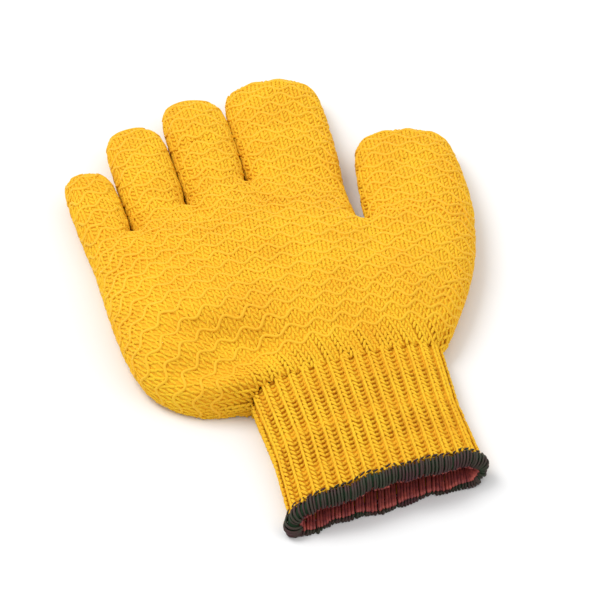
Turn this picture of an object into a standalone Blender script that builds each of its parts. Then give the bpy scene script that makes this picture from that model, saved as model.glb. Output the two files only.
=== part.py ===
"""A knitted work glove, lying palm down: five stalls, a palm, a ribbed cuff and an overlocked hem.

The glove lies on the plane z = 0 with its fingers towards +Y. The origin is on the flat underside, below the
middle of the palm, on the cuff's centre line. Every piece is hollow, and its wall is the knitted fabric.
"""

import math
from collections import namedtuple

import bmesh
import bpy
from mathutils import Vector

# Fabric, in metres.
WALL = 0.0022
SEAT = 0.0003
PRESSED = 0.0014

# Hand, in metres. The hand starts at the wrist line and ends at the fingertips.
WRIST_WIDTH = 0.070
WRIST_HEIGHT = 0.0155
WRIST_Y = -0.056
HAND_WIDTH = 0.1348
HAND_OFFSET = -0.0051
PALM_HEIGHT = 0.0235
THUMB_REACH = 0.0683
KNUCKLE_REACH = 0.034
CROTCH_DEPTH = 0.010
SEAM_RISE = 0.0058
STALL_LENGTH = 0.063
STALL_HEIGHT = 0.0172

# Cuff and hem, in metres.
CUFF_LENGTH = 0.0556
RIB_COUNT = 32
RIB_DEPTH = 0.0013
HEM_WIDTH = 0.0056
HEM_PROUD = 0.0011

# The wrist line and the mouth slant: metres along Y for each metre across.
SLANT = 0.18

# How finely the shapes are divided, and how far the cutters reach past the hand.
SUBDIVISIONS = 2
RIB_POINTS = 4
HEM_SIDES = 8
HEM_POINTS = 78
SPLINE_STEPS = 24
SHARP_DEGREES = 50
CUTTER_REACH = 0.12
CUTTER_HEIGHT = 0.07

# A digit's cage: its shares of the hand's width and of the stalls' length and height, its turn away from +Y
# in degrees, and its width at the tip as a share of its width at the root.
Digit = namedtuple("Digit", "name width length height turn taper")
FINGERS = (
    Digit("little_stall", 0.130, 0.73, 0.96, -1.0, 0.98),
    Digit("ring_stall", 0.156, 0.94, 1.00, 0.5, 0.98),
    Digit("middle_stall", 0.168, 0.97, 1.00, 2.0, 0.98),
    Digit("index_stall", 0.252, 1.00, 0.93, 2.5, 0.96),
)
THUMB = Digit("thumb_stall", 0.294, 0.90, 0.98, 4.5, 0.80)

# Stations along a digit: shares of its length, width and height.
Station = namedtuple("Station", "along width height")
STATIONS = (
    Station(0.16, 1.06, 1.00),
    Station(0.76, 1.10, 0.98),
    Station(1.00, 0.84, 0.62),
)

# Rows across the palm: share of the reach to the thumb, how far each side has swelled from the wrist to the
# full palm, how far the height has risen from the wrist's to the palm's, and what share of it the fold over
# the heel keeps, on the little finger's side.
Row = namedtuple("Row", "along little_side thumb_side rise fold")
ROWS = (
    Row(0.00, 0.00, 0.00, 0.00, 1.00),
    Row(0.06, 0.50, 0.16, 0.45, 1.08),
    Row(0.19, 0.79, 0.34, 0.70, 0.52),
    Row(0.33, 0.97, 0.54, 0.95, 1.14),
    Row(0.66, 1.02, 0.88, 1.00, 1.00),
    Row(1.00, 1.01, 1.03, 0.95, 1.00),
)

# How much of the fold each of the six columns of a palm row takes, from the little finger's side.
FOLD_REACH = (0.35, 1.00, 0.80, 0.15, 0.00, 0.00)

# Heights of the six columns of a palm row, from the little finger's side, as shares of the row's height.
CROWN = (0.72, 0.94, 1.00, 1.00, 0.94, 0.72)

# The finger block ends on the knuckle line, at the five sides of the fingers: how far along the knuckle
# reach each lies, and its height as a share of the palm's.
Knuckle = namedtuple("Knuckle", "along height")
KNUCKLES = (
    Knuckle(0.24, 0.66),
    Knuckle(0.39, 0.66),
    Knuckle(0.70, 0.70),
    Knuckle(1.00, 0.68),
    Knuckle(0.88, 0.60),
)

# The block's first row: how far it has come down from the palm's height to the knuckles'.
FIRST_ROW_DROP = 0.35

# Sections of the cuff: share of its length from the wrist, and shares of the wrist's width and of its height
# on the little finger's side and on the thumb's.
CuffSection = namedtuple("CuffSection", "along width little_side thumb_side")
CUFF_SECTIONS = (
    CuffSection(0.0, 1.00, 1.00, 1.00),
    CuffSection(0.5, 0.96, 0.92, 0.98),
    CuffSection(1.0, 0.99, 0.72, 0.98),
)

YELLOW_KNIT = (0.93, 0.55, 0.03, 1.0)
HEM_THREAD = (0.035, 0.028, 0.032, 1.0)
FABRIC_ROUGHNESS = 0.85


def blend(start, end, share):
    return start + (end - start) * share


def slant(x):
    return SLANT * x


def material(name, colour):
    made = bpy.data.materials.new(name)
    made.use_nodes = True
    shader = made.node_tree.nodes["Principled BSDF"]
    shader.inputs["Base Color"].default_value = colour
    shader.inputs["Roughness"].default_value = FABRIC_ROUGHNESS
    shader.inputs["Metallic"].default_value = 0.0
    made.diffuse_color = colour
    return made


def collection(name):
    made = bpy.data.collections.new(name)
    bpy.context.scene.collection.children.link(made)
    return made


def add_object(name, mesh, into, finish=None):
    made = bpy.data.objects.new(name, mesh)
    into.objects.link(made)
    if finish:
        mesh.materials.clear()
        mesh.materials.append(finish)
        mesh.shade_smooth()
        mesh.set_sharp_from_angle(angle=math.radians(SHARP_DEGREES))
    return made


def mesh_from(bm, name):
    bmesh.ops.recalc_face_normals(bm, faces=bm.faces)
    mesh = bpy.data.meshes.new(name)
    bm.to_mesh(mesh)
    bm.free()
    return mesh


def evaluated_mesh(source):
    graph = bpy.context.evaluated_depsgraph_get()
    return bpy.data.meshes.new_from_object(source.evaluated_get(graph))


def column_shares():
    """Where the sides of the five digits lie across the palm, from 0 to 1."""
    widths = [digit.width for digit in FINGERS] + [THUMB.width]
    total = sum(widths)
    return [sum(widths[:count]) / total for count in range(len(widths) + 1)]


def palm_sides():
    """The x of the full palm's two sides, thumb included."""
    return HAND_OFFSET - HAND_WIDTH / 2, HAND_OFFSET + HAND_WIDTH / 2


def row_points(row):
    """The six cage points (x, y, top) across one row of the palm."""
    full_left, full_right = palm_sides()
    left = blend(-WRIST_WIDTH / 2, full_left, row.little_side)
    right = blend(WRIST_WIDTH / 2, full_right, row.thumb_side)
    height = blend(WRIST_HEIGHT, PALM_HEIGHT, row.rise)
    points = []
    for share, crown, reach in zip(column_shares(), CROWN, FOLD_REACH):
        x = blend(left, right, share)
        y = WRIST_Y + row.along * THUMB_REACH + slant(x) * (1 - row.along)
        points.append((x, y, height * crown * blend(1.0, row.fold, reach)))
    return points


def block_points(lift):
    """The five cage points across the finger block: lift 0 is the first row above the thumb, 1 the knuckles."""
    base = row_points(ROWS[-1])[: len(KNUCKLES)]
    points = []
    for (x, y, top), knuckle in zip(base, KNUCKLES):
        reach = knuckle.along * KNUCKLE_REACH
        first = min(CROTCH_DEPTH, reach / 2)
        height = blend(top, PALM_HEIGHT * knuckle.height, blend(FIRST_ROW_DROP, 1.0, lift))
        points.append((x, y + blend(first, reach, lift), height))
    return points


def palm_sheet(bm, crown):
    """The palm's plan as one sheet of faces: five columns to the thumb, then four to the knuckles."""
    bmesh.ops.create_grid(bm, x_segments=len(CROWN) - 1, y_segments=len(ROWS) - 1, size=1.0)
    ordered = sorted(bm.verts, key=lambda vert: (round(vert.co.y, 4), vert.co.x))
    rows = [ordered[start:start + len(CROWN)] for start in range(0, len(ordered), len(CROWN))]
    for verts, row in zip(rows, ROWS):
        for vert, (x, y, top) in zip(verts, row_points(row)):
            vert.co = (x, y, -PRESSED)
            vert[crown] = top
    front = rows[-1]
    for lift in (0.0, 1.0):
        edges = [edge_between(front[i], front[i + 1]) for i in range(len(FINGERS))]
        made = bmesh.ops.extrude_edge_only(bm, edges=edges)["geom"]
        front = sorted((v for v in made if isinstance(v, bmesh.types.BMVert)), key=lambda v: v.co.x)
        for vert, (x, y, top) in zip(front, block_points(lift)):
            vert.co = (x, y, -PRESSED)
            vert[crown] = top
    return rows, front


def edge_between(first, second):
    return next(edge for edge in first.link_edges if edge.other_vert(first) is second)


def place_end(face, centre, across, width, height):
    """Moves a digit's end face to a section of this width and height, centred over a point on the floor."""
    middle = face.calc_center_median()
    for vert in face.verts:
        side = 1 if (vert.co - middle).dot(across) > 0 else -1
        low = vert.co.z < middle.z
        vert.co = centre + across * (side * width / 2)
        vert.co.z = -PRESSED if low else height


def grow_digit(bm, digit, end):
    """Extrudes one stall from its opening in the palm, station by station, to its closed tip."""
    base = end.calc_center_median()
    turn = math.radians(digit.turn)
    along = Vector((math.sin(turn), math.cos(turn), 0.0))
    across = Vector((math.cos(turn), -math.sin(turn), 0.0))
    for station in STATIONS:
        end = bmesh.ops.extrude_discrete_faces(bm, faces=[end])["faces"][0]
        centre = Vector((base.x, base.y, 0.0)) + along * (station.along * digit.length * STALL_LENGTH)
        width = HAND_WIDTH * digit.width * station.width * blend(1.0, digit.taper, station.along)
        place_end(end, centre, across, width, STALL_HEIGHT * digit.height * station.height)


def hand_cage():
    """The coarse cage of the whole hand, open at the wrist."""
    bm = bmesh.new()
    crown = bm.verts.layers.float.new("crown")
    rows, knuckles = palm_sheet(bm, crown)
    wrist_edges = [edge_between(rows[0][i], rows[0][i + 1]) for i in range(len(CROWN) - 1)]
    finger_edges = [edge_between(knuckles[i], knuckles[i + 1]) for i in range(len(FINGERS))]
    thumb_edge = edge_between(rows[-1][-2], rows[-1][-1])
    sheet = set(bm.faces)
    grown = bmesh.ops.extrude_face_region(bm, geom=bm.faces[:], use_keep_orig=True)["geom"]
    for vert in (item for item in grown if isinstance(item, bmesh.types.BMVert)):
        vert.co.z = vert[crown]

    def wall_on(edge):
        return next(face for face in edge.link_faces if face not in sheet)

    ends = [wall_on(edge) for edge in finger_edges] + [wall_on(thumb_edge)]
    wrist = [wall_on(edge) for edge in wrist_edges]
    for digit, end in zip(FINGERS + (THUMB,), ends):
        grow_digit(bm, digit, end)
    bmesh.ops.delete(bm, geom=wrist, context="FACES_ONLY")
    return mesh_from(bm, "hand_cage")


def hand_shell(helpers):
    """The whole hand as one knitted wall: the cage smoothed, pressed flat on the floor, and given thickness."""
    cage = add_object("hand_cage", hand_cage(), helpers)
    smooth = cage.modifiers.new("Smooth", "SUBSURF")
    smooth.levels = smooth.render_levels = SUBDIVISIONS
    skin = evaluated_mesh(cage)
    for vert in skin.vertices:
        vert.co.z = max(vert.co.z, 0.0)
    shell = add_object("hand_shell", skin, helpers)
    wall = shell.modifiers.new("Knitted wall", "SOLIDIFY")
    wall.thickness = WALL
    wall.offset = -1.0
    wall.use_even_offset = True
    wall.use_quality_normals = True
    closed = add_object("hand_solid", evaluated_mesh(shell), helpers)
    for helper in (cage, shell, closed):
        hide(helper)
    return closed


def hide(helper):
    helper.hide_render = True
    helper.display_type = "WIRE"


def prism(name, outline, helpers):
    """An upright cutter over this outline on the floor, taller and deeper than the glove."""
    bm = bmesh.new()
    corners = [bm.verts.new((x, y, (PALM_HEIGHT - CUTTER_HEIGHT) / 2)) for x, y in outline]
    base = bm.faces.new(corners)
    grown = bmesh.ops.extrude_face_region(bm, geom=[base], use_keep_orig=True)["geom"]
    top = [item for item in grown if isinstance(item, bmesh.types.BMVert)]
    bmesh.ops.translate(bm, verts=top, vec=(0.0, 0.0, CUTTER_HEIGHT))
    cutter = add_object(name, mesh_from(bm, name), helpers)
    hide(cutter)
    return cutter


def stall_outlines(drop):
    """The floor outlines beyond the stalls' seams, for the fingers and the thumb, lowered by drop."""
    knuckles = block_points(1.0)
    crotch = row_points(ROWS[-1])[len(FINGERS)]
    lean = math.tan(math.radians((FINGERS[-1].turn + THUMB.turn) / 2))
    rise = SEAM_RISE - drop

    def gap_x(y):
        return crotch[0] + (y - crotch[1]) * lean

    seam = [(x, y + rise) for x, y, _ in knuckles]
    seam[0] = (seam[0][0] - CUTTER_REACH, seam[0][1])
    seam[-1] = (gap_x(seam[-1][1]), seam[-1][1])
    far = knuckles[-1][1] + CUTTER_REACH
    fingers = seam + [(gap_x(far), far), (seam[0][0], far)]
    low = crotch[1] + rise
    side = gap_x(low) + CUTTER_REACH
    thumb = [(gap_x(low), low), (side, low), (side, far), (gap_x(far), far)]
    return fingers, thumb


def boolean(target, cutter, operation):
    cut = target.modifiers.new(operation.title(), "BOOLEAN")
    cut.operation = operation
    cut.object = cutter


def cut_mesh(shell, cutters, operation, helpers):
    """The shell's mesh after each cutter has been applied to it in turn."""
    work = add_object("cut_work", shell.data.copy(), helpers)
    for cutter in cutters:
        boolean(work, cutter, operation)
    mesh = evaluated_mesh(work)
    bpy.data.objects.remove(work)
    return mesh


def loose_meshes(mesh, name):
    """Each separate body of a mesh as a mesh of its own, in order of its middle's x."""
    bm = bmesh.new()
    bm.from_mesh(mesh)
    left = set(bm.verts)
    groups = []
    while left:
        queue = [left.pop()]
        group = set(queue)
        while queue:
            for edge in queue.pop().link_edges:
                for vert in edge.verts:
                    if vert in left:
                        left.remove(vert)
                        group.add(vert)
                        queue.append(vert)
        groups.append(group)
    groups.sort(key=lambda group: sum(vert.co.x for vert in group) / len(group))
    meshes = []
    for group in groups:
        part = bmesh.new()
        copies = {vert: part.verts.new(vert.co) for vert in group}
        for face in {face for vert in group for face in vert.link_faces}:
            part.faces.new([copies[vert] for vert in face.verts])
        made = bpy.data.meshes.new(name)
        part.to_mesh(made)
        part.free()
        meshes.append(made)
    bm.free()
    return meshes


def build_hand(parts, helpers, finish):
    """Parts the hand's wall at the knuckles into the palm and the five stalls."""
    shell = hand_shell(helpers)
    outlines = zip(("finger_cut", "thumb_cut"), stall_outlines(0.0))
    stalls = [prism(name, outline, helpers) for name, outline in outlines]
    outlines = zip(("finger_gap", "thumb_gap"), stall_outlines(SEAT))
    gaps = [prism(name, outline, helpers) for name, outline in outlines]
    add_object("palm", cut_mesh(shell, gaps, "DIFFERENCE", helpers), parts, finish)
    fingers = loose_meshes(cut_mesh(shell, stalls[:1], "INTERSECT", helpers), "finger")
    for digit, mesh in zip(FINGERS, fingers):
        add_object(digit.name, mesh, parts, finish)
    add_object(THUMB.name, cut_mesh(shell, stalls[1:], "INTERSECT", helpers), parts, finish)


def cuff_controls(section):
    """A section of the cuff as control points (x, z), scaled from the first row of the palm."""
    top = []
    for (x, _, z), share in zip(row_points(ROWS[0]), column_shares()):
        up = blend(section.little_side, section.thumb_side, share)
        top.append((x * section.width, z * up))
    return top + [(x, -PRESSED) for x, _ in reversed(top)]


def spline_ring(controls, count):
    """Points (x, z) evenly spaced along the closed cubic B-spline of the control points."""
    total = len(controls)
    fine = []
    for index in range(total):
        around = [Vector(controls[(index + shift) % total]) for shift in (-1, 0, 1, 2)]
        for step in range(SPLINE_STEPS):
            t = step / SPLINE_STEPS
            weights = (
                (1 - t) ** 3 / 6,
                (3 * t ** 3 - 6 * t ** 2 + 4) / 6,
                (-3 * t ** 3 + 3 * t ** 2 + 3 * t + 1) / 6,
                t ** 3 / 6,
            )
            fine.append(sum((point * weight for point, weight in zip(around, weights)), Vector((0.0, 0.0))))
    lengths = [0.0]
    for here, there in zip(fine, fine[1:] + fine[:1]):
        lengths.append(lengths[-1] + (there - here).length)
    ring = []
    index = 0
    for number in range(count):
        wanted = lengths[-1] * number / count
        while lengths[index + 1] < wanted:
            index += 1
        share = (wanted - lengths[index]) / (lengths[index + 1] - lengths[index])
        ring.append(fine[index].lerp(fine[(index + 1) % len(fine)], share))
    return ring


def offset_ring(ring, offsets):
    """The ring moved outwards, each point by its own offset. The ring runs clockwise seen from the mouth."""
    moved = []
    for index, point in enumerate(ring):
        along = (ring[(index + 1) % len(ring)] - ring[index - 1]).normalized()
        moved.append(point + Vector((-along.y, along.x)) * offsets[index % len(offsets)])
    return moved


def cuff_y(along):
    """The y of a place down the cuff, on its centre line: 0 is at the wrist, 1 at the hem."""
    return WRIST_Y - SEAT - along * CUFF_LENGTH


def loft(rings, name):
    """A closed ring of fabric: each ring of points joined to the next, and the last to the first."""
    bm = bmesh.new()
    loops = [[bm.verts.new((x, y, max(z, 0.0))) for x, y, z in ring] for ring in rings]
    for here, there in zip(loops, loops[1:] + loops[:1]):
        for index in range(len(here)):
            bm.faces.new((here[index - 1], here[index], there[index], there[index - 1]))
    return mesh_from(bm, name)


def build_cuff(parts, finish):
    """The ribbed cuff: raised and sunk ribs outside, a plain wall inside."""
    count = RIB_COUNT * RIB_POINTS
    ribs = (RIB_DEPTH / 2, RIB_DEPTH / 2, -RIB_DEPTH / 2, -RIB_DEPTH / 2)
    outer = []
    inner = []
    for section in CUFF_SECTIONS:
        ring = spline_ring(cuff_controls(section), count)
        y = cuff_y(section.along)
        outer.append([(p.x, y + slant(p.x), p.y) for p in offset_ring(ring, ribs)])
        inner.append([(p.x, y + slant(p.x), max(p.y, WALL)) for p in offset_ring(ring, (-WALL,))])
    add_object("rib_cuff", loft(outer + inner[::-1], "rib_cuff"), parts, finish)


def build_hem(parts, finish):
    """The overlocked hem: a flat roll of thread that binds the mouth."""
    ring = spline_ring(cuff_controls(CUFF_SECTIONS[-1]), HEM_POINTS)
    middle = cuff_y(1.0) - SEAT - HEM_WIDTH / 2
    thickness = WALL + 2 * HEM_PROUD
    rings = []
    for side in range(HEM_SIDES):
        angle = 2 * math.pi * (side + 0.5) / HEM_SIDES
        reach = 1 / math.cos(math.pi / HEM_SIDES)
        out = -WALL / 2 + reach * math.cos(angle) * thickness / 2
        down = reach * math.sin(angle) * HEM_WIDTH / 2
        rings.append([(p.x, middle + down + slant(p.x), p.y) for p in offset_ring(ring, (out,))])
    add_object("overlock_hem", loft(rings, "overlock_hem"), parts, finish)


def main():
    for item in list(bpy.data.objects):
        bpy.data.objects.remove(item)
    parts = collection("grip_glove")
    helpers = collection("cutters")
    knit = material("yellow_knit", YELLOW_KNIT)
    build_hand(parts, helpers, knit)
    build_cuff(parts, knit)
    build_hem(parts, material("hem_thread", HEM_THREAD))


main()
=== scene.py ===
"""The looks of a knitted grip glove: its knit, grip lines, ribbed cuff and overlocked hem, on a pale floor."""

import heapq
import math
from collections import namedtuple

import bmesh
import bpy
import numpy as np
from bpy.props import FloatProperty, FloatVectorProperty, IntProperty, PointerProperty
from mathutils import Matrix, Vector


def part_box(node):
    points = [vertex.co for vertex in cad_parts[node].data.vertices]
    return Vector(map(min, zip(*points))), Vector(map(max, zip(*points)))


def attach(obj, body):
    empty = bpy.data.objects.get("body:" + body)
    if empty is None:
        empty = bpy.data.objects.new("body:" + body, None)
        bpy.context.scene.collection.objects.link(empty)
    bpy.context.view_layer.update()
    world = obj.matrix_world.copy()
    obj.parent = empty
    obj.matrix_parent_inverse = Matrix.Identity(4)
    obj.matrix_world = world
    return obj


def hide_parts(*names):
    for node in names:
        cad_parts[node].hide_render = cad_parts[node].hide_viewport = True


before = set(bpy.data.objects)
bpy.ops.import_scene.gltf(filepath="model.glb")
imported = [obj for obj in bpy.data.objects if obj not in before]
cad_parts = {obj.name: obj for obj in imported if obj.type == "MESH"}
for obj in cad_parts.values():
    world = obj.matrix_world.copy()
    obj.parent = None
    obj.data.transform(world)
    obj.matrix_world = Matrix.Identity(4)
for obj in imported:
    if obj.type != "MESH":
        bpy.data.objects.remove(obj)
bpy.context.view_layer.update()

bl_info = {
    "name": "Grip glove",
    "version": (1, 0, 0),
    "blender": (4, 5, 0),
    "location": "3D View > Sidebar > Glove",
    "description": "Builds a knitted grip glove stitch by stitch",
    "category": "Add Mesh",
}

STALLS = ("little_stall", "ring_stall", "middle_stall", "index_stall", "thumb_stall")
SEED = 11

# Sizes of the hand, in metres, as its solids have them.
WRIST_WIDTH = 0.070
WRIST_HEIGHT = 0.0155
WRIST_Y = -0.056
HAND_WIDTH = 0.1348
HAND_OFFSET = -0.0051
PALM_HEIGHT = 0.0235
THUMB_REACH = 0.0683
KNUCKLE_REACH = 0.034
CROTCH_DEPTH = 0.010
STALL_LENGTH = 0.063
STALL_HEIGHT = 0.0172
PRESSED = 0.0014
SLANT = 0.18
SEAT = 0.0003
CUFF_LENGTH = 0.0556
HEM_WIDTH = 0.0056

# A digit: shares of the hand's width and of the stalls' length and height, turn in degrees, taper.
Digit = namedtuple("Digit", "name width length height turn taper")
FINGERS = (
    Digit("little_stall", 0.130, 0.73, 0.96, -1.0, 0.98),
    Digit("ring_stall", 0.156, 0.94, 1.00, 0.5, 0.98),
    Digit("middle_stall", 0.168, 0.97, 1.00, 2.0, 0.98),
    Digit("index_stall", 0.252, 1.00, 0.93, 2.5, 0.96),
)
THUMB = Digit("thumb_stall", 0.294, 0.90, 0.98, 4.5, 0.80)

# Stations along a digit: shares of its length, width and height.
Station = namedtuple("Station", "along width height")
STATIONS = (
    Station(0.16, 1.11, 1.00),
    Station(0.76, 1.17, 0.98),
    Station(1.00, 0.98, 0.62),
)

# Rows across the palm, as shares: along the reach, swelling of each side, rise, and the heel's fold.
Row = namedtuple("Row", "along little_side thumb_side rise fold")
ROWS = (
    Row(0.00, 0.00, 0.00, 0.00, 1.00),
    Row(0.06, 0.50, 0.16, 0.22, 1.02),
    Row(0.19, 0.79, 0.34, 0.60, 0.54),
    Row(0.33, 0.97, 0.54, 0.95, 1.14),
    Row(0.66, 1.02, 0.88, 1.00, 1.00),
    Row(1.00, 1.01, 1.03, 0.95, 1.00),
)
FOLD_REACH = (0.35, 1.00, 0.80, 0.15, 0.00, 0.00)
CROWN = (0.72, 0.94, 1.00, 1.00, 0.94, 0.72)

# The knuckle line at the five sides of the fingers: share of the knuckle reach, and of the palm's height.
Knuckle = namedtuple("Knuckle", "along height")
KNUCKLES = (
    Knuckle(0.24, 0.66),
    Knuckle(0.39, 0.66),
    Knuckle(0.70, 0.70),
    Knuckle(1.00, 0.68),
    Knuckle(0.88, 0.60),
)
FIRST_ROW_DROP = 0.35

# Sections of the cuff: share of its length, and shares of the wrist's width and of its height on each side.
CuffSection = namedtuple("CuffSection", "along width little_side thumb_side")
CUFF_SECTIONS = (
    CuffSection(0.0, 1.00, 1.00, 1.00),
    CuffSection(0.5, 0.96, 0.92, 0.98),
    CuffSection(1.0, 0.99, 0.72, 0.98),
)

# Dents pressed into the upper skin: start and end on the floor plan, half width and depth, in metres.
Dent = namedtuple("Dent", "start end reach depth")
DENTS = (
    Dent((-0.0545, 0.031), (-0.0500, 0.004), 0.0035, 0.0020),
    Dent((-0.0335, 0.042), (-0.0290, 0.012), 0.0038, 0.0022),
    Dent((-0.0110, 0.052), (-0.0080, 0.020), 0.0036, 0.0018),
    Dent((0.0235, 0.017), (0.0240, -0.006), 0.0050, 0.0022),
    Dent((-0.0560, -0.034), (-0.0280, -0.044), 0.0048, 0.0042),
    Dent((0.0320, -0.040), (0.0460, -0.018), 0.0050, 0.0012),
    Dent((-0.0050, 0.073), (0.0210, 0.071), 0.0030, 0.0009),
    Dent((-0.0300, 0.070), (-0.0140, 0.069), 0.0028, 0.0009),
    Dent((0.0330, 0.040), (0.0560, 0.042), 0.0034, 0.0011),
)

# How the skin lies under its stitches, and how finely it is made.
REST = 0.00005
SKIN_INSET = 0.0006
SKIN_WALL = 0.0012
SKIN_LEVEL = 3
LEG_SIDES = 6
LEG_RINGS = 4
SPLINE_STEPS = 24

# The section of a grip line, in shares of its width: across and out of the skin.
GRIP_PROFILE = ((-0.50, 0.0), (-0.32, 0.52), (0.32, 0.52), (0.50, 0.0))


class KnitSizes(bpy.types.PropertyGroup):
    """The yarn and the gauge of the hand's knit."""

    wale: FloatProperty(name="Wale", description="Width of a stitch", default=0.0029, unit="LENGTH")
    course: FloatProperty(name="Course", description="Height of a stitch", default=0.0021, unit="LENGTH")
    yarn: FloatProperty(name="Yarn", description="Thickness of the yarn", default=0.00125, unit="LENGTH")
    colour: FloatVectorProperty(
        name="Yarn colour", description="Colour of the hand's and the cuff's yarn",
        default=(0.91, 0.575, 0.023), size=3, min=0.0, max=1.0, subtype="COLOR",
    )


class GripSizes(bpy.types.PropertyGroup):
    """The raised wavy grip lines across the hand."""

    spacing: FloatProperty(name="Spacing", description="From one line to the next", default=0.0052, unit="LENGTH")
    wave: FloatProperty(name="Wave", description="Length of one wave", default=0.0092, unit="LENGTH")
    swing: FloatProperty(name="Swing", description="How far a wave swings aside", default=0.0014, unit="LENGTH")
    width: FloatProperty(name="Width", description="Width of a line", default=0.00135, unit="LENGTH")
    colour: FloatVectorProperty(
        name="Line colour", description="Colour of the grip lines",
        default=(0.89, 0.53, 0.021), size=3, min=0.0, max=1.0, subtype="COLOR",
    )


class CuffSizes(bpy.types.PropertyGroup):
    """The ribs of the cuff."""

    ribs: IntProperty(name="Ribs", description="Number of ribs round the cuff", default=32, min=8, max=80)
    depth: FloatProperty(name="Depth", description="Height of a rib", default=0.0010, unit="LENGTH")
    course: FloatProperty(name="Course", description="Height of a stitch", default=0.0020, unit="LENGTH")


class HemSizes(bpy.types.PropertyGroup):
    """The overlocked hem."""

    pitch: FloatProperty(name="Pitch", description="From one wrap to the next", default=0.00115, unit="LENGTH")
    thread: FloatProperty(name="Thread", description="Thickness of the thread", default=0.00085, unit="LENGTH")
    dark: FloatVectorProperty(
        name="Dark thread", description="Colour of the outer thread",
        default=(0.013, 0.043, 0.017), size=3, min=0.0, max=1.0, subtype="COLOR",
    )
    warm: FloatVectorProperty(
        name="Warm thread", description="Colour of the thread inside the mouth",
        default=(0.50, 0.105, 0.075), size=3, min=0.0, max=1.0, subtype="COLOR",
    )


class StageSizes(bpy.types.PropertyGroup):
    """The camera, the floor and the light."""

    azimuth: FloatProperty(name="Azimuth", description="Camera's turn", default=math.radians(13.17), subtype="ANGLE")
    elevation: FloatProperty(name="Elevation", description="Camera's rise", default=math.radians(40.0), subtype="ANGLE")
    distance: FloatProperty(name="Distance", description="Camera to glove", default=2.4, unit="LENGTH")
    field: FloatProperty(name="Field", description="Width of view at the glove", default=0.205, unit="LENGTH")


def blend(start, end, share):
    return start + (end - start) * share


def smooth_step(low, high, value):
    share = np.clip((value - low) / (high - low), 0.0, 1.0)
    return share * share * (3 - 2 * share)


def unit(vectors):
    return vectors / np.maximum(np.linalg.norm(vectors, axis=-1, keepdims=True), 1e-12)


def add_piece(name, mesh, material, replaced=()):
    """Links a finished mesh as a piece that rides with the glove."""
    piece = bpy.data.objects.new(name, mesh)
    bpy.context.scene.collection.objects.link(piece)
    mesh.materials.clear()
    mesh.materials.append(material)
    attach(piece, "root")
    if replaced:
        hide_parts(*replaced)
    return piece


def evaluated_mesh(mesh, *modifiers):
    """The mesh after these modifiers, each given as its type and its values."""
    helper = bpy.data.objects.new("helper", mesh)
    bpy.context.scene.collection.objects.link(helper)
    for kind, values in modifiers:
        modifier = helper.modifiers.new(kind.title(), kind)
        for key, value in values.items():
            setattr(modifier, key, value)
    graph = bpy.context.evaluated_depsgraph_get()
    made = bpy.data.meshes.new_from_object(helper.evaluated_get(graph))
    bpy.data.objects.remove(helper)
    return made


# The hand's skin

def column_shares():
    """Where the sides of the five digits lie across the palm, from 0 to 1."""
    widths = [digit.width for digit in FINGERS] + [THUMB.width]
    total = sum(widths)
    return [sum(widths[:count]) / total for count in range(len(widths) + 1)]


def row_points(row):
    """The six cage points (x, y, top) across one row of the palm."""
    left = blend(-WRIST_WIDTH / 2, HAND_OFFSET - HAND_WIDTH / 2, row.little_side)
    right = blend(WRIST_WIDTH / 2, HAND_OFFSET + HAND_WIDTH / 2, row.thumb_side)
    height = blend(WRIST_HEIGHT, PALM_HEIGHT, row.rise)
    points = []
    for share, crown, reach in zip(column_shares(), CROWN, FOLD_REACH):
        x = blend(left, right, share)
        y = WRIST_Y + row.along * THUMB_REACH + SLANT * x * (1 - row.along)
        points.append((x, y, height * crown * blend(1.0, row.fold, reach)))
    return points


def block_points(lift):
    """The five cage points across the finger block: lift 0 is its first row, 1 the knuckles."""
    points = []
    for (x, y, top), knuckle in zip(row_points(ROWS[-1]), KNUCKLES):
        reach = knuckle.along * KNUCKLE_REACH
        first = min(CROTCH_DEPTH, reach / 2)
        height = blend(top, PALM_HEIGHT * knuckle.height, blend(FIRST_ROW_DROP, 1.0, lift))
        points.append((x, y + blend(first, reach, lift), height))
    return points


def edge_between(first, second):
    return next(edge for edge in first.link_edges if edge.other_vert(first) is second)


def palm_sheet(bm, crown):
    """The palm's plan as one sheet: five columns to the thumb, then four to the knuckles."""
    bmesh.ops.create_grid(bm, x_segments=len(CROWN) - 1, y_segments=len(ROWS) - 1, size=1.0)
    ordered = sorted(bm.verts, key=lambda vert: (round(vert.co.y, 4), vert.co.x))
    rows = [ordered[start:start + len(CROWN)] for start in range(0, len(ordered), len(CROWN))]
    for verts, row in zip(rows, ROWS):
        for vert, (x, y, top) in zip(verts, row_points(row)):
            vert.co = (x, y, -PRESSED)
            vert[crown] = top
    front = rows[-1]
    for lift in (0.0, 1.0):
        edges = [edge_between(front[i], front[i + 1]) for i in range(len(FINGERS))]
        made = bmesh.ops.extrude_edge_only(bm, edges=edges)["geom"]
        front = sorted((v for v in made if isinstance(v, bmesh.types.BMVert)), key=lambda v: v.co.x)
        for vert, (x, y, top) in zip(front, block_points(lift)):
            vert.co = (x, y, -PRESSED)
            vert[crown] = top
    return rows, front


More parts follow.
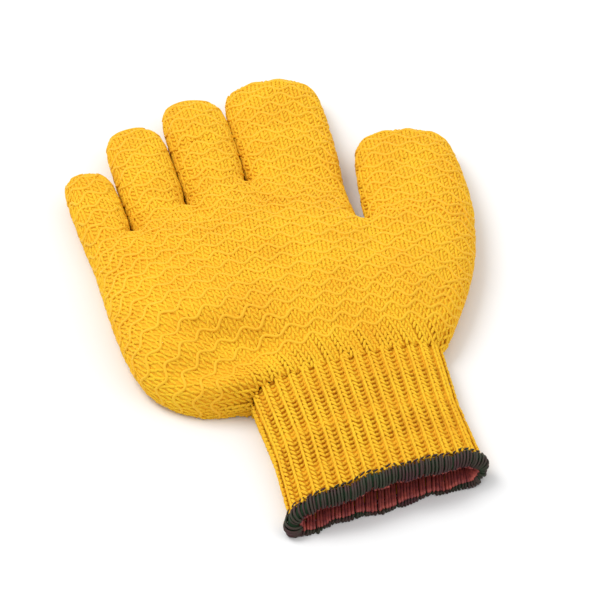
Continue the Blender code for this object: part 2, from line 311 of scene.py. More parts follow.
def grow_digit(bm, digit, end):
    """Extrudes one stall from its opening in the palm, station by station, to its closed tip."""
    base = end.calc_center_median()
    turn = math.radians(digit.turn)
    along = Vector((math.sin(turn), math.cos(turn), 0.0))
    across = Vector((math.cos(turn), -math.sin(turn), 0.0))
    for station in STATIONS:
        end = bmesh.ops.extrude_discrete_faces(bm, faces=[end])["faces"][0]
        centre = Vector((base.x, base.y, 0.0)) + along * (station.along * digit.length * STALL_LENGTH)
        width = HAND_WIDTH * digit.width * station.width * blend(1.0, digit.taper, station.along)
        middle = end.calc_center_median()
        for vert in end.verts:
            side = 1 if (vert.co - middle).dot(across) > 0 else -1
            low = vert.co.z < middle.z
            vert.co = centre + across * (side * width / 2)
            vert.co.z = -PRESSED if low else STALL_HEIGHT * digit.height * station.height


def hand_cage():
    """The coarse cage of the whole hand, open at the wrist."""
    bm = bmesh.new()
    crown = bm.verts.layers.float.new("crown")
    rows, knuckles = palm_sheet(bm, crown)
    wrist_edges = [edge_between(rows[0][i], rows[0][i + 1]) for i in range(len(CROWN) - 1)]
    end_edges = [edge_between(knuckles[i], knuckles[i + 1]) for i in range(len(FINGERS))]
    end_edges.append(edge_between(rows[-1][-2], rows[-1][-1]))
    sheet = set(bm.faces)
    grown = bmesh.ops.extrude_face_region(bm, geom=bm.faces[:], use_keep_orig=True)["geom"]
    for vert in (item for item in grown if isinstance(item, bmesh.types.BMVert)):
        vert.co.z = vert[crown]

    def wall_on(edge):
        return next(face for face in edge.link_faces if face not in sheet)

    ends = [wall_on(edge) for edge in end_edges]
    wrist = [wall_on(edge) for edge in wrist_edges]
    for digit, end in zip(FINGERS + (THUMB,), ends):
        grow_digit(bm, digit, end)
    bmesh.ops.delete(bm, geom=wrist, context="FACES_ONLY")
    bmesh.ops.delete(bm, geom=[edge for edge in bm.edges if not edge.link_faces], context="EDGES")
    bmesh.ops.recalc_face_normals(bm, faces=bm.faces)
    mesh = bpy.data.meshes.new("hand_cage")
    bm.to_mesh(mesh)
    bm.free()
    return mesh


def press_dents(points):
    """Presses the dents, and a little unevenness, into whatever faces up."""
    plan = points[:, :2]
    drop = np.zeros(len(points))
    for dent in DENTS:
        start = np.array(dent.start)
        line = np.array(dent.end) - start
        share = np.clip((plan - start) @ line / (line @ line), 0.0, 1.0)
        away = np.linalg.norm(plan - start - share[:, None] * line, axis=1)
        ends = 0.35 + 0.65 * np.sin(np.pi * np.clip(share, 0.12, 0.88))
        drop += dent.depth * ends * np.exp(-(away / dent.reach) ** 2)
    x, y = plan[:, 0], plan[:, 1]
    uneven = np.sin(x * 74 + 1.3 * np.sin(y * 61)) * np.sin(y * 53 + 0.9 * np.sin(x * 47))
    uneven += 0.6 * np.sin(x * 131 + y * 47 + 2) * np.sin(y * 119 - x * 38)
    drop += 0.0006 * uneven
    upper = smooth_step(0.004, 0.011, points[:, 2])
    points[:, 2] -= drop * upper
    return points


def hand_surface():
    """The hand's skin as arrays: points, unit normals and triangles. It lies just below the stitches' crests."""
    mesh = evaluated_mesh(hand_cage(), ("SUBSURF", {"levels": SKIN_LEVEL, "render_levels": SKIN_LEVEL}))
    count = len(mesh.vertices)
    points = np.empty(count * 3)
    normals = np.empty(count * 3)
    mesh.vertices.foreach_get("co", points)
    points = press_dents(points.reshape(-1, 3))
    mesh.vertices.foreach_set("co", points.ravel())
    mesh.update()
    mesh.vertices.foreach_get("normal", normals)
    points -= normals.reshape(-1, 3) * SKIN_INSET
    points[:, 2] = np.maximum(points[:, 2], SKIN_INSET)
    mesh.vertices.foreach_set("co", points.ravel())
    mesh.update()
    mesh.vertices.foreach_get("normal", normals)
    mesh.calc_loop_triangles()
    triangles = np.empty(len(mesh.loop_triangles) * 3, dtype=np.int64)
    mesh.loop_triangles.foreach_get("vertices", triangles)
    return mesh, points, unit(normals.reshape(-1, 3)), triangles.reshape(-1, 3)


# Courses: lines of equal distance from the wrist, over the skin

def reach_over_skin(points, triangles, starts):
    """How far each point lies from the starts, measured over the surface, by fast marching."""
    fans = [[] for _ in points]
    for triangle in triangles.tolist():
        for corner in range(3):
            fans[triangle[corner]].append((triangle[corner - 2], triangle[corner - 1]))
    places = points.tolist()
    reach = [math.inf] * len(places)
    queue = []
    for start in starts:
        reach[start] = 0.0
        queue.append((0.0, start))
    heapq.heapify(queue)
    done = [False] * len(places)
    while queue:
        _, here = heapq.heappop(queue)
        if done[here]:
            continue
        done[here] = True
        for pair in fans[here]:
            for goal, other in (pair, pair[::-1]):
                if done[goal]:
                    continue
                found = across_triangle(places[goal], places[here], places[other], reach[here], reach[other])
                if found < reach[goal]:
                    reach[goal] = found
                    heapq.heappush(queue, (found, goal))
    return np.array(reach)


def across_triangle(goal, first, second, first_reach, second_reach):
    """The reach at one corner of a triangle, from the reach at its two others."""
    a = [first[i] - goal[i] for i in range(3)]
    b = [second[i] - goal[i] for i in range(3)]
    aa = a[0] * a[0] + a[1] * a[1] + a[2] * a[2]
    bb = b[0] * b[0] + b[1] * b[1] + b[2] * b[2]
    shortest = first_reach + math.sqrt(aa)
    if second_reach == math.inf:
        return shortest
    shortest = min(shortest, second_reach + math.sqrt(bb))
    ab = a[0] * b[0] + a[1] * b[1] + a[2] * b[2]
    area = aa * bb - ab * ab
    if area <= 0.0:
        return shortest
    q11, q12, q22 = bb / area, -ab / area, aa / area
    ones = q11 + 2 * q12 + q22
    mixed = (q11 + q12) * first_reach + (q12 + q22) * second_reach
    known = q11 * first_reach ** 2 + 2 * q12 * first_reach * second_reach + q22 * second_reach ** 2 - 1
    root = mixed * mixed - ones * known
    if root < 0.0:
        return shortest
    reach = (mixed + math.sqrt(root)) / ones
    first_part = q11 * (first_reach - reach) + q12 * (second_reach - reach)
    second_part = q12 * (first_reach - reach) + q22 * (second_reach - reach)
    return min(reach, shortest) if first_part < 0 and second_part < 0 else shortest


def wrist_points(mesh):
    """The numbers of the points on the open wrist edge."""
    bm = bmesh.new()
    bm.from_mesh(mesh)
    found = sorted({vert.index for edge in bm.edges if edge.is_boundary for vert in edge.verts})
    bm.free()
    return found


def steepness(points, triangles, field):
    """How fast the field climbs at each point: below 1 where courses lie wide apart."""
    a, b, c = (points[triangles[:, corner]] for corner in range(3))
    up = np.cross(b - a, c - a)
    size = np.linalg.norm(up, axis=1)
    up /= size[:, None]
    slope = sum(
        np.cross(up, edge) * field[triangles[:, corner]][:, None]
        for corner, edge in enumerate((c - b, a - c, b - a))
    )
    steep = np.linalg.norm(slope, axis=1)
    total = np.bincount(triangles.ravel(), np.repeat(steep, 3), len(points))
    return total / np.bincount(triangles.ravel(), np.repeat(size, 3), len(points))


# A closed course: rows of point, normal, field and steepness; the length up to each row; and its number.
Course = namedtuple("Course", "rows along length number")


def courses(surface, triangles, levels):
    """Every closed line round the hand where the field has one of these levels, starting on its crown."""
    edges = np.sort(np.stack([triangles, np.roll(triangles, -1, axis=1)], axis=-1), axis=-1)
    names = edges[..., 0] * len(surface) + edges[..., 1]
    corners = surface[triangles, 6]
    made = []
    for number, level in enumerate(levels):
        above = corners > level
        crossed = above != np.roll(above, -1, axis=1)
        rows = np.nonzero(crossed.any(axis=1))[0]
        if not len(rows):
            continue
        pairs = names[rows][crossed[rows]].reshape(-1, 2)
        made += [lay_course(surface, loop, level, number) for loop in chained(pairs) if len(loop) > 5]
    return [course for course in made if course]


def chained(pairs):
    """Joins pairs of edge names that share a name into closed loops."""
    beside = {}
    for first, second in pairs.tolist():
        beside.setdefault(first, []).append(second)
        beside.setdefault(second, []).append(first)
    loops = []
    while beside:
        here, (there, *_) = next(iter(beside.items()))
        loop = [here]
        before = here
        here = there
        while here != loop[0]:
            loop.append(here)
            ways = beside[here]
            if len(ways) < 2:
                break
            before, here = here, ways[0] if ways[0] != before else ways[1]
        for name in loop:
            beside.pop(name, None)
        loops.append(loop)
    return loops


def lay_course(surface, loop, level, number):
    """One course as measured rows, running so that the fingertips lie on its left."""
    names = np.array(loop)
    first, second = surface[names // len(surface)], surface[names % len(surface)]
    share = (level - first[:, 6]) / (second[:, 6] - first[:, 6])
    rows = blend(first, second, share[:, None])
    rows = rows[np.linalg.norm(np.roll(rows, -1, axis=0)[:, :3] - rows[:, :3], axis=1) > 1e-6]
    if len(rows) < 6:
        return None
    ahead = np.roll(rows, -1, axis=0) - np.roll(rows, 1, axis=0)
    if np.cross(rows[:, 3:6], ahead[:, :3])[:, 1].sum() < 0:
        rows = rows[::-1]
    middle = (rows[:, 0].min() + rows[:, 0].max()) / 2
    after = np.roll(rows, -1, axis=0)
    spans = np.nonzero((rows[:, 0] <= middle) != (after[:, 0] <= middle))[0]
    start = max(spans, key=lambda index: rows[index, 2])
    share = (middle - rows[start, 0]) / (after[start, 0] - rows[start, 0])
    crown = blend(rows[start], after[start], share)
    rows = np.vstack([crown, np.roll(rows, -(start + 1), axis=0), crown])
    along = np.concatenate([[0.0], np.cumsum(np.linalg.norm(np.diff(rows[:, :3], axis=0), axis=1))])
    return Course(rows, along, along[-1], number)


def sampled(course, places):
    """Points, directions along, up and out of the knit, and steepness, at these places along a course."""
    def read(where):
        where = np.mod(where, course.length)
        return np.stack([np.interp(where, course.along, column) for column in course.rows.T], axis=-1)

    here = read(places)
    outward = unit(here[:, 3:6])
    across = unit(read(places + 0.0006)[:, :3] - read(places - 0.0006)[:, :3])
    upward = unit(np.cross(outward, across))
    across = np.cross(upward, outward)
    return here[:, :3], across, upward, outward, here[:, 7]


# Stitches

def yarn_bead(across, along, thick):
    """A short length of yarn, rounded at its ends."""
    bm = bmesh.new()
    bm.loops.layers.uv.new("yarn")
    bmesh.ops.create_uvsphere(bm, u_segments=LEG_SIDES, v_segments=LEG_RINGS, radius=0.5, calc_uvs=True)
    bmesh.ops.rotate(bm, verts=bm.verts, matrix=Matrix.Rotation(math.radians(90), 3, "X"))
    bmesh.ops.scale(bm, verts=bm.verts, vec=(across, along, thick))
    return bm


def stitch_leg(sizes):
    """One leg of a stitch: a bead of yarn that leans inwards towards the fingertips."""
    bm = yarn_bead(sizes.yarn, sizes.course * 1.62, sizes.yarn * 0.94)
    lean = sizes.wale * 0.22 / sizes.course
    for vert in bm.verts:
        vert.co.x += sizes.wale * 0.25 - lean * vert.co.y
    return bm


def template_arrays(bm):
    """A small mesh as arrays: points, corner numbers, corners of each face, and UVs."""
    bm.verts.index_update()
    layer = bm.loops.layers.uv.active
    points = np.array([vert.co for vert in bm.verts])
    corners = np.array([loop.vert.index for face in bm.faces for loop in face.loops])
    sizes = np.array([len(face.verts) for face in bm.faces])
    uvs = np.array([loop[layer].uv for face in bm.faces for loop in face.loops])
    return points, corners, sizes, uvs


def scatter(name, template, places, axes):
    """Copies a small mesh to every place, turned and stretched by its axes, and joins the copies."""
    points, corners, sizes, uvs = template_arrays(template)
    count = len(places)
    spread = np.einsum("vi,nij->nvj", points, axes) + places[:, None, :]
    spread[..., 2] = np.maximum(spread[..., 2], REST)
    all_corners = (corners[None, :] + (np.arange(count) * len(points))[:, None]).ravel()
    all_sizes = np.tile(sizes, count)
    mesh = bpy.data.meshes.new(name)
    mesh.vertices.add(spread.shape[0] * spread.shape[1])
    mesh.vertices.foreach_set("co", spread.ravel())
    mesh.loops.add(len(all_corners))
    mesh.loops.foreach_set("vertex_index", all_corners.astype(np.int32))
    mesh.polygons.add(len(all_sizes))
    starts = np.concatenate([[0], np.cumsum(all_sizes)[:-1]])
    mesh.polygons.foreach_set("loop_start", starts.astype(np.int32))
    layer = mesh.uv_layers.new(name="yarn")
    layer.data.foreach_set("uv", np.tile(uvs, (count, 1)).ravel().astype(np.float32))
    mesh.update(calc_edges=True)
    mesh.validate()
    mesh.shade_smooth()
    return mesh


def both_legs(here, across, upward, outward, draw, stretch=1.0):
    """Places and axes of the two legs of each stitch, each a little uneven."""
    places = []
    axes = []
    long = np.broadcast_to(stretch, len(here))[:, None]
    for side in (-1, 1):
        tilt = draw.normal(0.0, 0.07, len(here))[:, None]
        grow = draw.normal(1.0, 0.05, len(here))[:, None]
        lift = draw.normal(0.0, 0.00006, len(here))[:, None]
        up = (upward - tilt * across) * grow * long
        places.append(here + outward * lift)
        axes.append(np.stack([side * (across + tilt * upward), up, outward * grow], axis=1))
    return np.concatenate(places), np.concatenate(axes)


# Materials

def make_group(name, inputs, outputs):
    """An empty shader node group with named sockets."""
    group = bpy.data.node_groups.new(name, "ShaderNodeTree")
    for label, kind, value in inputs:
        socket = group.interface.new_socket(label, in_out="INPUT", socket_type=kind)
        socket.default_value = value
    for label, kind in outputs:
        group.interface.new_socket(label, in_out="OUTPUT", socket_type=kind)
    return group, group.nodes.new("NodeGroupInput"), group.nodes.new("NodeGroupOutput")


def node(tree, kind, values=None, **settings):
    made = tree.nodes.new(kind)
    for key, value in settings.items():
        setattr(made, key, value)
    for key, value in (values or {}).items():
        made.inputs[key].default_value = value
    return made


def fibre_group():
    """Spun fibre: uneven colour over centimetres, fine lengthwise strands as colour, roughness and bump, and a ply
    twist as bump with painted shade in its grooves.
    """
    floats = "NodeSocketFloat"
    group, source, sink = make_group(
        "Spun fibre",
        (
            ("Light", "NodeSocketColor", (0.9, 0.5, 0.05, 1.0)),
            ("Deep", "NodeSocketColor", (0.8, 0.3, 0.02, 1.0)),
            ("Strand size", floats, 3200.0),
            ("Patch size", floats, 60.0),
            ("Relief", floats, 0.4),
            ("Roughness", floats, 0.85),
            ("Twist", floats, 0.0),
        ),
        (("Colour", "NodeSocketColor"), ("Roughness", floats), ("Normal", "NodeSocketVector")),
    )
    link = group.links.new
    place = node(group, "ShaderNodeTexCoord")
    patches = node(group, "ShaderNodeTexNoise", {"Detail": 3.0, "Roughness": 0.6})
    strands = node(group, "ShaderNodeTexNoise", {"Detail": 2.0, "Roughness": 0.7, "Distortion": 0.8})
    for texture, size in ((patches, "Patch size"), (strands, "Strand size")):
        link(place.outputs["Object"], texture.inputs["Vector"])
        link(source.outputs[size], texture.inputs["Scale"])
    both = node(group, "ShaderNodeMath", operation="MULTIPLY_ADD")
    both.inputs[1].default_value = 0.45
    link(strands.outputs["Fac"], both.inputs[0])
    link(patches.outputs["Fac"], both.inputs[2])
    split = node(group, "ShaderNodeSeparateXYZ")
    link(place.outputs["UV"], split.inputs[0])
    slant = node(group, "ShaderNodeMath", operation="MULTIPLY_ADD")
    slant.inputs[1].default_value = 2.5
    link(split.outputs["Y"], slant.inputs[0])
    link(split.outputs["X"], slant.inputs[2])
    plies = node(group, "ShaderNodeMath", operation="MULTIPLY")
    plies.inputs[1].default_value = 4 * math.pi
    link(slant.outputs[0], plies.inputs[0])
    groove = node(group, "ShaderNodeMath", operation="SINE")
    link(plies.outputs[0], groove.inputs[0])
    twisted = node(group, "ShaderNodeMath", operation="MULTIPLY")
    link(groove.outputs[0], twisted.inputs[0])
    link(source.outputs["Twist"], twisted.inputs[1])
    # The twist's grooves take the darker colour: painted shade between the plies; the strands and patches under it are
    # the yarn's uneven tone.
    shaded = node(group, "ShaderNodeMath", operation="MULTIPLY_ADD")
    shaded.inputs[1].default_value = -0.14
    link(twisted.outputs[0], shaded.inputs[0])
    link(both.outputs[0], shaded.inputs[2])
    height = node(group, "ShaderNodeMath", operation="ADD")
    link(strands.outputs["Fac"], height.inputs[0])
    link(twisted.outputs[0], height.inputs[1])
    spread = node(group, "ShaderNodeMapRange", {"From Min": 0.45, "From Max": 1.05})
    link(shaded.outputs[0], spread.inputs["Value"])
    mix = node(group, "ShaderNodeMix", data_type="RGBA")
    link(spread.outputs["Result"], mix.inputs["Factor"])
    link(source.outputs["Light"], mix.inputs["A"])
    link(source.outputs["Deep"], mix.inputs["B"])
    rough = node(group, "ShaderNodeMath", operation="MULTIPLY_ADD")
    rough.inputs[1].default_value = 0.12
    link(strands.outputs["Fac"], rough.inputs[0])
    link(source.outputs["Roughness"], rough.inputs[2])
    bump = node(group, "ShaderNodeBump", {"Distance": 0.0002})
    link(source.outputs["Relief"], bump.inputs["Strength"])
    link(height.outputs[0], bump.inputs["Height"])
    link(mix.outputs["Result"], sink.inputs["Colour"])
    link(rough.outputs[0], sink.inputs["Roughness"])
    link(bump.outputs["Normal"], sink.inputs["Normal"])
    return group


def yarn_material(name, light, deep, patch=60.0, relief=0.4, roughness=0.78, sheen=0.25, twist=0.0):
    """A matt yarn with a soft sheen, its colour uneven from place to place."""
    group = bpy.data.node_groups.get("Spun fibre") or fibre_group()
    material = bpy.data.materials.new(name)
    material.use_nodes = True
    tree = material.node_tree
    shader = tree.nodes["Principled BSDF"]
    fibre = node(tree, "ShaderNodeGroup", node_tree=group)
    fibre.inputs["Light"].default_value = (*light, 1.0)
    fibre.inputs["Deep"].default_value = (*deep, 1.0)
    fibre.inputs["Patch size"].default_value = patch
    fibre.inputs["Relief"].default_value = relief
    fibre.inputs["Roughness"].default_value = roughness
    fibre.inputs["Twist"].default_value = twist
    tree.links.new(fibre.outputs["Colour"], shader.inputs["Base Color"])
    tree.links.new(fibre.outputs["Roughness"], shader.inputs["Roughness"])
    tree.links.new(fibre.outputs["Normal"], shader.inputs["Normal"])
    shader.inputs["Specular IOR Level"].default_value = 0.25
    shader.inputs["Sheen Weight"].default_value = sheen
    shader.inputs["Sheen Roughness"].default_value = 0.5
    shader.inputs["Sheen Tint"].default_value = (*light, 1.0)
    material.diffuse_color = (*light, 1.0)
    return material


def deeper(colour, share=0.78):
    """The same dye darker, and more so in green than in red: painted shade between strands, in the ply grooves and
    under the stitches, and the deep end of the yarn's uneven tone.
    """
    return colour[0] * blend(share, 1.0, 0.45), colour[1] * share * 0.88, colour[2] * share * 0.8


# The cuff and the hem

def cuff_controls(section):
    """A section of the cuff as control points (x, z)."""
    top = []
    for (x, _, z), share in zip(row_points(ROWS[0]), column_shares()):
        up = blend(section.little_side, section.thumb_side, share)
        top.append((x * section.width, z * up))
    return np.array(top + [(x, -PRESSED) for x, _ in reversed(top)])


def section_at(along):
    """The cuff's section at any share of its length."""
    places = [section.along for section in CUFF_SECTIONS]
    read = [np.interp(along, places, [section[column] for section in CUFF_SECTIONS]) for column in (1, 2, 3)]
    return CuffSection(along, *read)


def spline_ring(controls, count):
    """Points (x, z) evenly spaced along the closed cubic B-spline of the control points."""
    total = len(controls)
    t = (np.arange(SPLINE_STEPS) / SPLINE_STEPS)[:, None]
    weights = ((1 - t) ** 3, 3 * t ** 3 - 6 * t ** 2 + 4, -3 * t ** 3 + 3 * t ** 2 + 3 * t + 1, t ** 3)
    fine = np.vstack([
        sum(controls[(index + shift - 1) % total] * weight / 6 for shift, weight in enumerate(weights))
        for index in range(total)
    ])
    closed = np.vstack([fine, fine[:1]])
    along = np.concatenate([[0.0], np.cumsum(np.linalg.norm(np.diff(closed, axis=0), axis=1))])
    wanted = np.arange(count) / count * along[-1]
    return np.stack([np.interp(wanted, along, closed[:, axis]) for axis in range(2)], axis=-1)


def moved_out(ring, offsets):
    """The ring moved outwards, each point by its own offset."""
    along = unit(np.roll(ring, -1, axis=0) - np.roll(ring, 1, axis=0))
    return ring + np.stack([-along[:, 1], along[:, 0]], axis=-1) * np.reshape(offsets, (-1, 1))


def cuff_ring(along, count, offsets, lowest=0.0006):
    """A ring of points round the cuff, at a share of its length, moved out by the offsets."""
    ring = moved_out(spline_ring(cuff_controls(section_at(along)), count), offsets)
    y = WRIST_Y - SEAT - along * CUFF_LENGTH
    return np.stack([ring[:, 0], y + SLANT * ring[:, 0], np.maximum(ring[:, 1], lowest)], axis=-1)


def tubes(name, runs, closed=False):
    """Tubes through runs of rings, each from a grid whose two sides are welded. Closed joins the two ends."""
    bm = bmesh.new()
    for rings in runs:
        if closed:
            rings = list(rings) + [rings[0]]
        around = len(rings[0])
        made = bmesh.ops.create_grid(bm, x_segments=around, y_segments=len(rings) - 1, size=1.0)["verts"]
        made.sort(key=lambda vert: (round(vert.co.y, 5), round(vert.co.x, 5)))
        for index, vert in enumerate(made):
            x, y, z = rings[index // (around + 1)][index % (around + 1) % around]
            vert.co = (x, y, max(z, REST))
    bmesh.ops.remove_doubles(bm, verts=bm.verts, dist=1e-6)
    bmesh.ops.recalc_face_normals(bm, faces=bm.faces)
    mesh = bpy.data.meshes.new(name)
    bm.to_mesh(mesh)
    bm.free()
    mesh.shade_smooth()
    return mesh


def thread_rings(line, thickness, sides=6):
    """Rings round a thread that bends in one plane, drawn to a point at both ends."""
    ahead = unit(np.gradient(line, axis=0))
    flank = unit(np.cross(ahead[:-1], ahead[1:]).sum(axis=0))
    above = unit(np.cross(flank, ahead))
    turn = 2 * np.pi * np.arange(sides) / sides
    rings = line[:, None, :] + thickness / 2 * (
        np.cos(turn)[None, :, None] * flank + np.sin(turn)[None, :, None] * above[:, None, :]
    )
    rings[0] = line[0]
    rings[-1] = line[-1]
    return rings


HAND = {}


def hand():
    """The hand's surface and its course field, worked out once and shared by the pieces on it."""
    if not HAND:
        mesh, points, normals, triangles = hand_surface()
        reach = reach_over_skin(points, triangles, wrist_points(mesh))
        sink = bpy.context.scene.glove_cuff.depth / 2 * (1 - smooth_step(0.0, 0.014, reach))
        points -= normals * sink[:, None]
        mesh.vertices.foreach_set("co", points.ravel())
        mesh.update()
        lean = np.tanh(points[:, 0] / 0.05) * 0.05
        field = reach + smooth_step(0.0, 0.07, reach) * SLANT * 1.5 * lean
        steep = steepness(points, triangles, field)
        surface = np.column_stack([points, normals, field, steep])
        HAND.update(mesh=mesh, surface=surface, triangles=triangles)
    return HAND


def rib_rise(places, sizes):
    """How far the cuff's ribs, fading out over the heel, lift these places on the hand."""
    draw = np.random.default_rng(SEED + 5)
    fades = draw.uniform(0.009, 0.017, sizes.ribs)
    count = sizes.ribs * 12
    ring = cuff_ring(0.0, count, np.zeros(count))
    rise = np.zeros(len(places))
    near = np.nonzero(places[:, 1] < WRIST_Y + 0.032)[0]
    away = np.linalg.norm(places[near][:, None, :] - ring[None, :, :], axis=2)
    nearest = away.argmin(axis=1)
    reach = away.min(axis=1)
    fade = 1 - smooth_step(0.0, 1.0, reach / fades[((nearest + 6) // 12) % sizes.ribs])
    rise[near] = (0.5 + 0.5 * np.cos(2 * np.pi * nearest / 12)) * sizes.depth * fade
    return rise


def hand_courses(spacing, start):
    shape = hand()
    levels = np.arange(start, shape["surface"][:, 6].max(), spacing)
    return courses(shape["surface"], shape["triangles"], levels)


def closing_rows(knit):
    """A short row of stitches over each fingertip that the last course leaves open."""
    surface, triangles = hand()["surface"], hand()["triangles"]
    beside = np.full(len(surface), -np.inf)
    for step in (1, 2):
        np.maximum.at(beside, triangles.ravel(), surface[np.roll(triangles, step, axis=1).ravel(), 6])
    at_tip = (surface[:, 6] > beside) & (surface[:, 4] > 0.4) & (surface[:, 1] > WRIST_Y + THUMB_REACH)
    made = []
    for tip in surface[at_tip]:
        left_open = (tip[6] / knit.course + 0.5) % 1
        if left_open < 0.12:
            continue
        across = unit(np.cross(tip[3:6], (0.0, 0.0, 1.0)))
        away = np.linalg.norm(surface[:, :3] - tip[:3], axis=1)
        bare = surface[(surface[:, 6] > tip[6] - left_open * knit.course) & (away < 0.02)]
        reach = (bare[:, :3] - tip[:3]) @ across / knit.wale
        steps = np.arange(math.ceil(reach.min()), math.floor(reach.max()) + 1)
        spots = tip[:3] + np.outer(steps * knit.wale, across)
        nearest = [np.linalg.norm(surface[:, :3] - spot, axis=1).argmin() for spot in spots]
        outward = surface[nearest, 3:6]
        here = spots - outward * ((spots - surface[nearest, :3]) * outward).sum(axis=1)[:, None]
        upward = unit(np.cross(outward, across))
        made.append((here, np.cross(upward, outward), upward, outward, np.ones(len(steps))))
    return made


class GLOVE_OT_hand_skin(bpy.types.Operator):
    """Makes the close fabric under the hand's stitches"""

    bl_idname = "glove.hand_skin"
    bl_label = "Hand skin"

    def execute(self, context):
        knit = context.scene.glove_knit
        skin = evaluated_mesh(hand()["mesh"].copy(), ("SOLIDIFY", {"thickness": SKIN_WALL, "offset": -1.0}))
        for vert in skin.vertices:
            vert.co.z = max(vert.co.z, SKIN_INSET * 0.8)
        skin.shade_smooth()
        dye = tuple(knit.colour)
        # The ground is the yarn's colour darkened: painted shade under the stitches.
        add_piece(
            "hand_skin", skin, yarn_material("shaded_knit_ground", deeper(dye, 0.9), deeper(dye, 0.76), sheen=0.1),
            ("palm", *STALLS),
        )
        return {"FINISHED"}


class GLOVE_OT_hand_stitches(bpy.types.Operator):
    """Knits the hand and its stalls, stitch by stitch, from the wrist to the fingertips"""

    bl_idname = "glove.hand_stitches"
    bl_label = "Hand stitches"

    def execute(self, context):
        knit = context.scene.glove_knit
        draw = np.random.default_rng(SEED)
        rows = []
        for course in hand_courses(knit.course, knit.course / 2):
            count = int(course.length / knit.wale)
            places = (np.arange(count) - count // 2) * knit.wale
            rows.append(sampled(course, places))
        rows += closing_rows(knit)
        here, across, upward, outward, steep = (np.concatenate(part) for part in zip(*rows))
        here += outward * rib_rise(here, context.scene.glove_cuff)[:, None]
        stretch = 1 / np.clip(steep, 0.6, 1.05)
        dye = tuple(knit.colour)
        material = yarn_material("knit_yarn", dye, deeper(dye, 0.82), twist=0.5)
        block = WRIST_Y + THUMB_REACH + KNUCKLE_REACH / 2
        on_stall = here[:, 1] > block
        upper = outward[:, 2] >= 0
        leg = stitch_leg(knit)
        for name, chosen in (
            ("upper_stitches", ~on_stall & upper),
            ("under_stitches", ~on_stall & ~upper),
            ("stall_upper_stitches", on_stall & upper),
            ("stall_under_stitches", on_stall & ~upper),
        ):
            places, axes = both_legs(
                here[chosen], across[chosen], upward[chosen], outward[chosen], draw, stretch[chosen],
            )
            add_piece(name, scatter(name, leg, places, axes), material)
            print(name, len(places), "legs")
        leg.free()
        return {"FINISHED"}


class GLOVE_OT_grip_lines(bpy.types.Operator):
    """Lays the raised wavy grip lines round the hand and its stalls"""

    bl_idname = "glove.grip_lines"
    bl_label = "Grip lines"

    def execute(self, context):
        grip = context.scene.glove_grip
        draw = np.random.default_rng(SEED + 3)
        lines = []
        for course in hand_courses(grip.spacing, 0.0115):
            waves = max(round(course.length / grip.wave), 1)
            count = waves * 12
            round_trip = 2 * np.pi * np.arange(count) / count
            here, across, upward, outward, steep = sampled(course, round_trip / (2 * np.pi) * course.length)
            start, drift = draw.uniform(0, 2 * np.pi, 2)
            turn = waves * round_trip + np.pi * (course.number % 2) + 0.25 * np.sin(3 * round_trip + start)
            swing = grip.swing * (1 + 0.14 * np.sin(5 * round_trip + drift)) * np.sin(turn)
            centre = here + upward * swing[:, None]
            ahead = unit(np.roll(centre, -1, axis=0) - np.roll(centre, 1, axis=0))
            beside = unit(np.cross(outward, ahead))
            lines.append([
                [spot + flank * grip.width * share + out * grip.width * high for share, high in GRIP_PROFILE]
                for spot, flank, out in zip(centre, beside, outward)
            ])
        dye = tuple(grip.colour)
        material = yarn_material("grip_line", dye, deeper(dye, 0.9), relief=0.15, roughness=0.55, sheen=0.1)
        add_piece("grip_lines", tubes("grip_lines", lines, closed=True), material)
        return {"FINISHED"}


